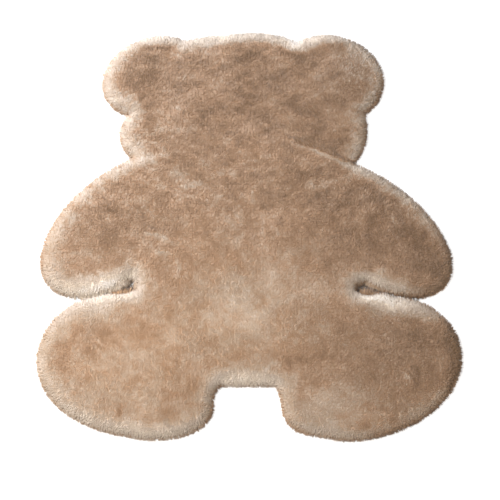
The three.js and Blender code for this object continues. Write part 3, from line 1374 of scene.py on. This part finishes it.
class SlitPair:
    """Both slits together: what each has at a place, added up."""

    @staticmethod
    def share(x: Array, y: Array) -> Array:
        """How strongly each place belongs to a slit."""
        return sum(slit.share(x, y) for slit in SLITS)

    @staticmethod
    def end_share(x: Array, y: Array) -> Array:
        """How strongly each place belongs to a hollow."""
        return sum(slit.end_share(x, y) for slit in SLITS)

    @staticmethod
    def leg_side(x: Array, y: Array, outward: Array) -> Array:
        """How strongly each place belongs to the leg's side of a hollow."""
        return sum(slit.leg_side(x, y, outward) for slit in SLITS)

    @staticmethod
    def set_back(x: Array, y: Array, outward: Array) -> Array:
        """How far the edge stands back on the leg's side of a hollow."""
        return sum(slit.set_back * slit.leg_side(x, y, outward) for slit in SLITS)

    @staticmethod
    def paleness(x: Array, y: Array) -> Array:
        """How much of the dark border is left out because the fur of a slit is pale."""
        return sum(slit.paleness * slit.share(x, y) for slit in SLITS)

    @staticmethod
    def softness(x: Array, y: Array) -> Array:
        """How much more softly the light plays over the single locks of a slit."""
        return sum(slit.softness * slit.share(x, y) for slit in SLITS)

    @staticmethod
    def hollow_shade_tone(x: Array, y: Array) -> Array:
        """The tone of the fur down in a hollow, dark: painted shade."""
        return sum(slit.hollow_shade_tone * slit.end_share(x, y) for slit in SLITS)


@dataclass
class Roots:
    """Where locks stand, and what is known of each of these places.

    The inset is the distance from the outline, the edge that from where the outermost tips
    end, and leg tells how strongly a place belongs to the leg's side of a hollow.
    """

    x: Array
    y: Array
    felt: Array
    inset: Array
    outward: Array
    leg: Array
    edge: Array

    def __len__(self) -> int:
        """How many locks there are."""
        return len(self.x)


@dataclass
class Nap:
    """How the locks stand: upright on top, and leaning further out the nearer the edge."""

    solid: RugSolid
    bed: PileBed
    coat: Coat
    root_inset: float = 3.2 * MM
    overhang: float = 7.4 * MM
    ragged: float = 2.4 * MM
    ragged_waves: Waves = Waves(SoftNoise(71, 0.010), SoftNoise(72, 0.026))
    longest_reach: float = 18.5 * MM
    reach_power: float = 1.3
    reach_past_edge: tuple = (-2.5 * MM, 3.5 * MM)
    reach_spread: tuple = (0.8, 1.1)
    lean_width: float = 42 * MM
    upright_from: float = 12 * MM
    slit_reach: float = 8 * MM
    slit_band: tuple = (6 * MM, 20 * MM)
    leg_shortening: float = 0.5
    swing: float = 0.28
    swing_shared: float = 0.5
    swing_waves: SoftNoise = SoftNoise(61, 0.012)
    widest_height: float = 9 * MM
    roll_height: float = 28 * MM
    roll_depth: float = 34 * MM
    hang_step: float = 2 * MM
    hang_slope: float = 1.2
    buried: float = 1.5 * MM
    lowest_root: float = 0.5 * MM
    lowest_tip: float = 0.6 * MM
    gather: float = 0.26
    tuft_lean: float = 0.9 * MM
    tuft_rise: float = 0.5 * MM
    dome: float = 3 * MM
    dome_middle: float = 0.15
    lumps: tuple = (-4 * MM, 3 * MM)
    lumps_band: tuple = (10 * MM, 22 * MM)
    unevenness: float = 0.55 * MM
    calm_unevenness: float = 0.35
    slit_border: float = 0.75
    tuft_tone: float = 0.03
    tuft_shade: float = 0.1
    lip_drop: float = 0.95
    lip_band: tuple = (1 * MM, 6 * MM)

    def stand(self, x: Array, y: Array, seed: int) -> dict[str, Array]:
        """Stands one lock at each place where there is a rug.

        Args:
            x: places across the rug.
            y: places along the rug.
            seed: sets the unevenness.

        Returns:
            The roots, tips, tones, reaches, insets and softnesses of the locks.
        """
        roots = self.roots(x, y)
        rng = np.random.default_rng(seed)
        reach = self.reach(roots, rng)
        tuft = self.coat.tufts.nearest(roots.x, roots.y)
        tip = self.tips(roots, reach, tuft, rng)
        tone = self.tones(roots, reach, tuft, rng)
        soft = (1 - roots.leg) * SlitPair.softness(roots.x, roots.y)
        foot = np.maximum(roots.felt - self.buried, self.lowest_root)
        return {
            "root": np.stack([roots.x, roots.y, foot], 1),
            "tip": tip,
            "tone": tone,
            "reach": reach,
            "inset": roots.inset,
            "soft": self.coat.rim_softness(roots.outward) + soft,
        }

    def roots(self, x: Array, y: Array) -> Roots:
        """Keeps the places that lie on the rug, and measures them.

        Args:
            x: places across the rug.
            y: places along the rug.

        Returns:
            The places where locks stand.
        """
        felt = heights_on(self.bed.surface, x, y)
        found = ~np.isnan(felt)
        x, y, felt = x[found], y[found], felt[found]
        inset, outward = self.solid.inset(x, y)
        inset = inset - SlitPair.set_back(x, y, outward)
        held = inset > self.root_inset
        x, y, felt, inset, outward = (row[held] for row in (x, y, felt, inset, outward))
        leg = SlitPair.leg_side(x, y, outward)
        edge = inset + self.overhang * (1 - leg) + self.ragged * self.ragged_waves.at(x, y)
        return Roots(x, y, felt, inset, outward, leg, edge)

    def reach(self, roots: Roots, rng: np.random.Generator) -> Array:
        """How far the tips lean out from the roots.

        Args:
            roots: where the locks stand.
            rng: the source of unevenness.

        Returns:
            The reach of each lock.
        """
        left = np.clip(1 - roots.edge / self.lean_width, 0, 1)
        past = rng.uniform(*self.reach_past_edge, len(roots))
        reach = np.minimum(self.longest_reach * left**self.reach_power, roots.edge + past)
        reach = np.maximum(reach, 0) * rng.uniform(*self.reach_spread, len(roots))
        reach = reach * (1 - self.leg_shortening * roots.leg)
        slit = SlitPair.share(roots.x, roots.y) * (1 - roots.leg)
        near_edge = 1 - self.coat.smooth(roots.edge, *self.slit_band)
        return reach + slit * self.slit_reach * near_edge

    def tips(
        self,
        roots: Roots,
        reach: Array,
        tuft: dict[str, Array],
        rng: np.random.Generator,
    ) -> Array:
        """Where the tips end.

        Args:
            roots: where the locks stand.
            reach: how far they lean out.
            tuft: the tuft that each belongs to.
            rng: the source of unevenness.

        Returns:
            One point for each lock.
        """
        x, y, edge = roots.x, roots.y, roots.edge
        swing = rng.normal(0, self.swing, len(x)) + self.swing_shared * self.swing_waves.at(x, y)
        way = turned(roots.outward, swing)
        upright = self.coat.smooth(edge, self.upright_from, self.lean_width)
        nap_x, nap_y, ridge = self.coat.nap(x, y)
        lively = self.coat.liveliness(y)
        calm = self.calm_unevenness
        stray = rng.normal(0, self.unevenness, (3, len(x))) * (calm + (1 - calm) * lively)
        shift_x = self.gather * (tuft["x"] - x) + nap_x + self.tuft_lean * tuft["lean_x"] + stray[0]
        shift_y = self.gather * (tuft["y"] - y) + nap_y + self.tuft_lean * tuft["lean_y"] + stray[1]
        lump = np.nan_to_num(self.solid.heights(x, y) - self.roll(edge))
        lump = np.clip(lump, *self.lumps) * self.coat.smooth(edge, *self.lumps_band)
        dome = self.dome * (tuft["far"] ** 2 - self.dome_middle)
        rise = ridge + lively * (self.tuft_rise * tuft["height"] - dome)
        height = self.roll(edge - reach) + lump + upright * rise + stray[2]
        tip_x = x + way[:, 0] * reach + upright * shift_x
        tip_y = y + way[:, 1] * reach + upright * shift_y
        return np.stack([tip_x, tip_y, np.maximum(height, self.lowest_tip)], 1)

    def tones(
        self,
        roots: Roots,
        reach: Array,
        tuft: dict[str, Array],
        rng: np.random.Generator,
    ) -> Array:
        """How light each lock is.

        Args:
            roots: where the locks stand.
            reach: how far they lean out.
            tuft: the tuft that each belongs to.
            rng: the source of unevenness.

        Returns:
            Tones from 0, dark, to 1, cream.
        """
        x, y, left = roots.x, roots.y, roots.edge - reach
        upright = self.coat.smooth(roots.edge, self.upright_from, self.lean_width)
        dark_border = 1 - self.slit_border * SlitPair.paleness(x, y)
        tone = self.coat.tone(x, y, roots.inset, roots.outward)
        # Darker by the edge: partly the darker hairs there, partly painted shade away from the light.
        tone = tone - self.coat.border(left, roots.outward) * dark_border
        tone = tone + self.coat.speckle(x, y) * rng.normal(0, 1, len(x))
        # Painted light on the middles of the tufts and painted shade between them.
        shade = self.tuft_shade * upright * (tuft["far"] ** 2 - self.dome_middle)
        tone = tone + self.coat.liveliness(y) * (self.tuft_tone * tuft["tone"] - shade)
        tone = np.maximum(tone, self.coat.darkest)
        # Leg-side locks by the edge of a hollow take its dark tone: painted shade in the hollow.
        lip = roots.leg * (1 - self.coat.smooth(left, *self.lip_band))
        return tone + self.lip_drop * lip * (SlitPair.hollow_shade_tone(x, y) - tone)

    def roll(self, left: Array) -> Array:
        """Height of the rim's outer skin.

        Args:
            left: distances in from the edge, negative outside it.

        Returns:
            The heights.
        """
        t = np.clip(left / self.roll_depth, 0, 1)
        rise = (self.roll_height - self.widest_height) * np.sqrt(1 - (1 - t) ** 2)
        hanging = self.widest_height + self.hang_slope * left - self.hang_step
        return np.where(left > 0, self.widest_height + rise, hanging)


def turned(direction: Array, angle: Array) -> Array:
    """Directions turned about the vertical by the given angles."""
    (x, y), c, s = direction.T, np.cos(angle), np.sin(angle)
    return np.stack([c * x - s * y, s * x + c * y], 1)


class PileZone(Enum):
    """Bands of the top pile, each a piece of its own, with their lowest and highest y."""

    FEET = (-1.0, -0.345)
    HIPS = (-0.345, -0.175)
    BELLY = (-0.175, 0.02)
    SHOULDERS = (0.02, 0.25)
    HEAD = (0.25, 1.0)


THICKNESS_SPREAD = (0.8, 1.15)


@dataclass
class TopPile:
    """The short locks that stand on the top of the rug."""

    nap: Nap
    pitch: float = 2.09 * MM
    radius: float = 1.87 * MM
    inset_from: float = 16 * MM
    inset_full: float = 34 * MM
    seed: int = 31

    def build(self, material: bpy.types.Material) -> list[bpy.types.Object]:
        """Builds one piece for each zone.

        Args:
            material: the finish of the locks.

        Returns:
            The pieces.
        """
        x, y = uneven_grid(self.pitch, self.seed)
        locks = self.nap.stand(x, y, self.seed + 1)
        rng = np.random.default_rng(self.seed + 2)
        share = Coat.smooth(locks["inset"], self.inset_from, self.inset_full)
        keep = rng.uniform(0, 1, len(share)) < share
        radius = self.radius * rng.uniform(*THICKNESS_SPREAD, len(share))
        pieces = []
        for zone in PileZone:
            low, high = zone.value
            along = locks["root"][:, 1]
            part = keep & (along >= low) & (along < high)
            root = locks["root"][part]
            soft = self.nap.coat.softness(root[:, 0], root[:, 1])
            rows = Locks([root], [radius[part]], locks["tip"][part], locks["tone"][part], (0.0,), soft)
            name = f"pile_{zone.name.lower()}"
            pieces.append(rows.build(name, material, self.seed))
            log.info("%s: %d locks", name, int(part.sum()))
        return pieces


class RimEnd(Enum):
    """The two halves of the rim's pile, each a piece of its own, with their y limits."""

    FOOT_END = (-1.0, -0.11)
    HEAD_END = (-0.11, 1.0)


@dataclass
class Skirt:
    """Locks low on the edge that hang out and down to the floor.

    At the ends of the slits there are more of them, with a longer reach, which fill the hollow.
    """

    nap: Nap
    rows: int = 2
    hollow_rows: int = 14
    hollow_from: float = 0.25
    radius: float = 2.1 * MM
    narrowing: float = 0.8
    leg_thinning: float = 0.4
    inset: float = 7.7 * MM
    heights: tuple = (2.2 * MM, 8 * MM)
    hollow_rise: float = 6 * MM
    arm_rise: float = 9 * MM
    arm_spread: tuple = (-0.8, 1.0)
    reaches: tuple = (4 * MM, 8.5 * MM)
    slit_share: float = 0.5
    hollow_reach: float = 19 * MM
    hollow_spread: tuple = (0.4, 1.1)
    swing: float = 0.35
    shift: float = 1 * MM
    past: float = 4 * MM
    fall: float = 0.5
    hollow_lift: float = 0.6
    lowest_tip: float = 0.4 * MM
    arch: float = 1.2 * MM
    leg_cover: float = 1.4
    arm_drop: float = 0.25
    drop: float = 0.34
    speckle: float = 0.06
    leg_evener: float = 0.6

    def locks(self, rng: np.random.Generator) -> Locks:
        """Places the locks along the outline.

        Args:
            rng: the source of unevenness.

        Returns:
            The locks.
        """
        solid = self.nap.solid
        in_hollow = SlitPair.end_share(*solid.outline.T) > self.hollow_from
        rows = np.where(in_hollow, self.rows + self.hollow_rows, self.rows)
        points = np.repeat(solid.outline, rows, axis=0)
        outward = np.repeat(solid.outward, rows, axis=0)
        count = len(points)
        slit = SlitPair.share(*points.T)
        hollow = SlitPair.end_share(*points.T)
        leg = SlitPair.leg_side(*points.T, outward)
        back = SlitPair.set_back(*points.T, outward)
        height = rng.uniform(*self.heights, count) + self.hollow_rise * hollow
        height = height + self.arm_rise * (hollow - leg) * rng.uniform(*self.arm_spread, count)
        reach = rng.uniform(*self.reaches, count) + self.slit_share * self.nap.slit_reach * slit
        longer = self.hollow_reach * hollow + back
        reach = reach + longer * rng.uniform(*self.hollow_spread, count)
        way = turned(outward, rng.normal(0, self.swing, count))
        along = np.stack([-outward[:, 1], outward[:, 0]], 1)
        along = along * rng.uniform(-1, 1, count)[:, None] * self.shift
        start = points - outward * (self.inset + back)[:, None] + along
        root = np.column_stack([start, height])
        fall = self.fall * reach * (1 - self.hollow_lift * hollow)
        low_tip = np.maximum(height - fall, self.lowest_tip)
        tip = np.column_stack([start + way * (reach + self.past)[:, None], low_tip])
        middle = 0.5 * (root + tip)
        middle[:, 2] += self.arch
        tone = self.tones(start, outward, hollow, leg)
        tone = tone + rng.normal(0, self.speckle, count) * (1 - self.leg_evener * leg)
        radius = self.radius * (1 - self.leg_thinning * leg)
        soft = self.nap.coat.rim_softness(outward)
        soft = soft + (1 - hollow) * SlitPair.softness(*start.T)
        radii = [radius, self.narrowing * radius]
        return Locks([root, middle], radii, tip, tone, (0.0, 0.5), soft)

    def tones(self, start: Array, outward: Array, hollow: Array, leg: Array) -> Array:
        """How light the locks are before they differ from each other.

        Args:
            start: where their roots are.
            outward: directions out of the rug.
            hollow: how strongly each belongs to a hollow.
            leg: how strongly each belongs to the leg's side of one.

        Returns:
            Tones from 0, dark, to 1, cream.
        """
        tone = self.nap.coat.tone(*start.T, np.zeros(len(start)), outward)
        # Leg-side locks of a hollow take its dark tone and arm-side ones are taken darker: painted shade
        # in the hollow.
        cover = np.minimum(self.leg_cover * leg, 1)
        tone = tone + cover * (SlitPair.hollow_shade_tone(*start.T) - tone)
        tone = tone - self.arm_drop * (hollow - leg)
        # The low locks are darker, partly the darker hairs of the very edge and partly painted shade low
        # by the floor; less so in a pale slit and not at all in a hollow.
        return tone - self.drop * (1 - SlitPair.paleness(*start.T)) * (1 - hollow)


@dataclass
class RimPile:
    """The longer locks near the edge, which lean out over the rim and down to the floor."""

    nap: Nap
    pitch: float = 2.0 * MM
    radius: float = 1.45 * MM
    narrowing: float = 0.85
    arch: float = 0.14
    seed: int = 51

    def build(self, material: bpy.types.Material, top: TopPile) -> list[bpy.types.Object]:
        """Builds one piece for each end of the rug.

        Args:
            material: the finish of the locks.
            top: the top pile, which takes over further in.

        Returns:
            The pieces.
        """
        x, y = uneven_grid(self.pitch, self.seed)
        locks = self.nap.stand(x, y, self.seed + 1)
        rng = np.random.default_rng(self.seed + 2)
        share = Coat.smooth(locks["inset"], top.inset_from, top.inset_full)
        keep = rng.uniform(0, 1, len(share)) >= share
        root, tip, tone, reach, soft = (
            locks[key][keep] for key in ("root", "tip", "tone", "reach", "soft")
        )
        middle = 0.5 * (root + tip)
        middle[:, 2] += self.arch * reach
        radius = self.radius * rng.uniform(*THICKNESS_SPREAD, len(root))
        radii = [radius, self.narrowing * radius]
        leaning = Locks([root, middle], radii, tip, tone, (0.0, 0.5), soft)
        rows = leaning.joined(Skirt(self.nap).locks(rng))
        pieces = []
        for end in RimEnd:
            low, high = end.value
            along = rows.rings[0][:, 1]
            name = f"rim_{end.name.lower()}"
            part = (along >= low) & (along < high)
            pieces.append(rows.part(part).build(name, material, self.seed))
            log.info("%s: %d locks", name, int(part.sum()))
        return pieces


# ---- Studio ------------------------------------------------------------------------------


@dataclass
class Studio:
    """Floor, lights and camera."""

    look_at: tuple = (0.0062, -0.0711, 0.009)
    elevation: float = 70.0
    distance: float = 2.3
    focal_pixels: float = 968.0
    image_width: int = 500
    sensor_width: float = 36
    floor_size: float = 6
    key_place: tuple = (-1.26, 0.95, 1.1)
    key_size: float = 1.3
    key_power: float = 54.0
    key_colour: tuple = (0.945, 1.0, 1.11)
    fill_place: tuple = (-0.85, -0.55, 2.0)
    fill_size: float = 1.5
    fill_power: float = 44.0
    fill_colour: tuple = (1.065, 1.0, 0.885)
    sky_colour: tuple = (1, 0.99, 0.98)
    sky_power: float = 0.32

    def build(self) -> None:
        """Builds the floor, the camera, the lamps and the world."""
        self.floor()
        self.camera()
        self.lamp("key", self.key_place, self.key_size, self.key_power, self.key_colour)
        self.lamp("fill", self.fill_place, self.fill_size, self.fill_power, self.fill_colour)
        world = bpy.data.worlds.new("studio")
        world.use_nodes = True
        background = world.node_tree.nodes["Background"]
        background.inputs["Color"].default_value = (*self.sky_colour, 1)
        background.inputs["Strength"].default_value = self.sky_power
        bpy.context.scene.world = world
        bpy.context.scene.view_settings.view_transform = "Standard"

    def floor(self) -> None:
        """A wide plain floor."""
        plane = bmesh.new()
        bmesh.ops.create_grid(plane, x_segments=2, y_segments=2, size=self.floor_size)
        mesh = bpy.data.meshes.new("floor")
        plane.to_mesh(mesh)
        plane.free()
        mesh.materials.append(FloorFinish().build())
        floor = bpy.data.objects.new("floor", mesh)
        bpy.context.scene.collection.objects.link(floor)

    def camera(self) -> None:
        """A camera above the feet, looking down and towards the head."""
        data = bpy.data.cameras.new("camera")
        data.sensor_width = self.sensor_width
        data.lens = self.focal_pixels / self.image_width * self.sensor_width
        camera = bpy.data.objects.new("camera", data)
        angle = math.radians(self.elevation)
        back = Vector((0, -math.cos(angle), math.sin(angle)))
        camera.location = Vector(self.look_at) + back * self.distance
        camera.rotation_mode = "QUATERNION"
        camera.rotation_quaternion = (-back).to_track_quat("-Z", "Y")
        bpy.context.scene.collection.objects.link(camera)
        bpy.context.scene.camera = camera

    def lamp(self, name: str, place: tuple, size: float, power: float, colour: tuple) -> None:
        """A soft square lamp that points at the middle of the rug.

        Args:
            name: the lamp's name.
            place: where it stands.
            size: its width.
            power: its power in watts.
            colour: the colour of its light.
        """
        data = bpy.data.lights.new(name, "AREA")
        data.size = size
        data.energy = power
        data.color = colour
        lamp = bpy.data.objects.new(name, data)
        lamp.location = place
        lamp.rotation_mode = "QUATERNION"
        lamp.rotation_quaternion = (-Vector(place)).to_track_quat("-Z", "Y")
        bpy.context.scene.collection.objects.link(lamp)


# ---- The rug -----------------------------------------------------------------------------


def main() -> None:
    """Builds the studio and the rug, and reports each piece."""
    Studio().build()
    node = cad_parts[RUG_NODE]
    solid = RugSolid(node)
    coat = Coat()
    bed_part = PileBed(solid, coat)
    bed = bed_part.build(node, BedFinish())
    fur = FurFinish().build()
    nap = Nap(solid, bed_part, coat)
    top = TopPile(nap)
    pile = top.build(fur) + RimPile(nap).build(fur, top)
    for piece in [bed, *pile]:
        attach(piece, "root")
        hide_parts(RUG_NODE)
        faces = sum(len(p.vertices) - 2 for p in piece.data.polygons)
        log.info("%s: %d triangles", piece.name, faces)


if __name__ == "__main__":
    main()
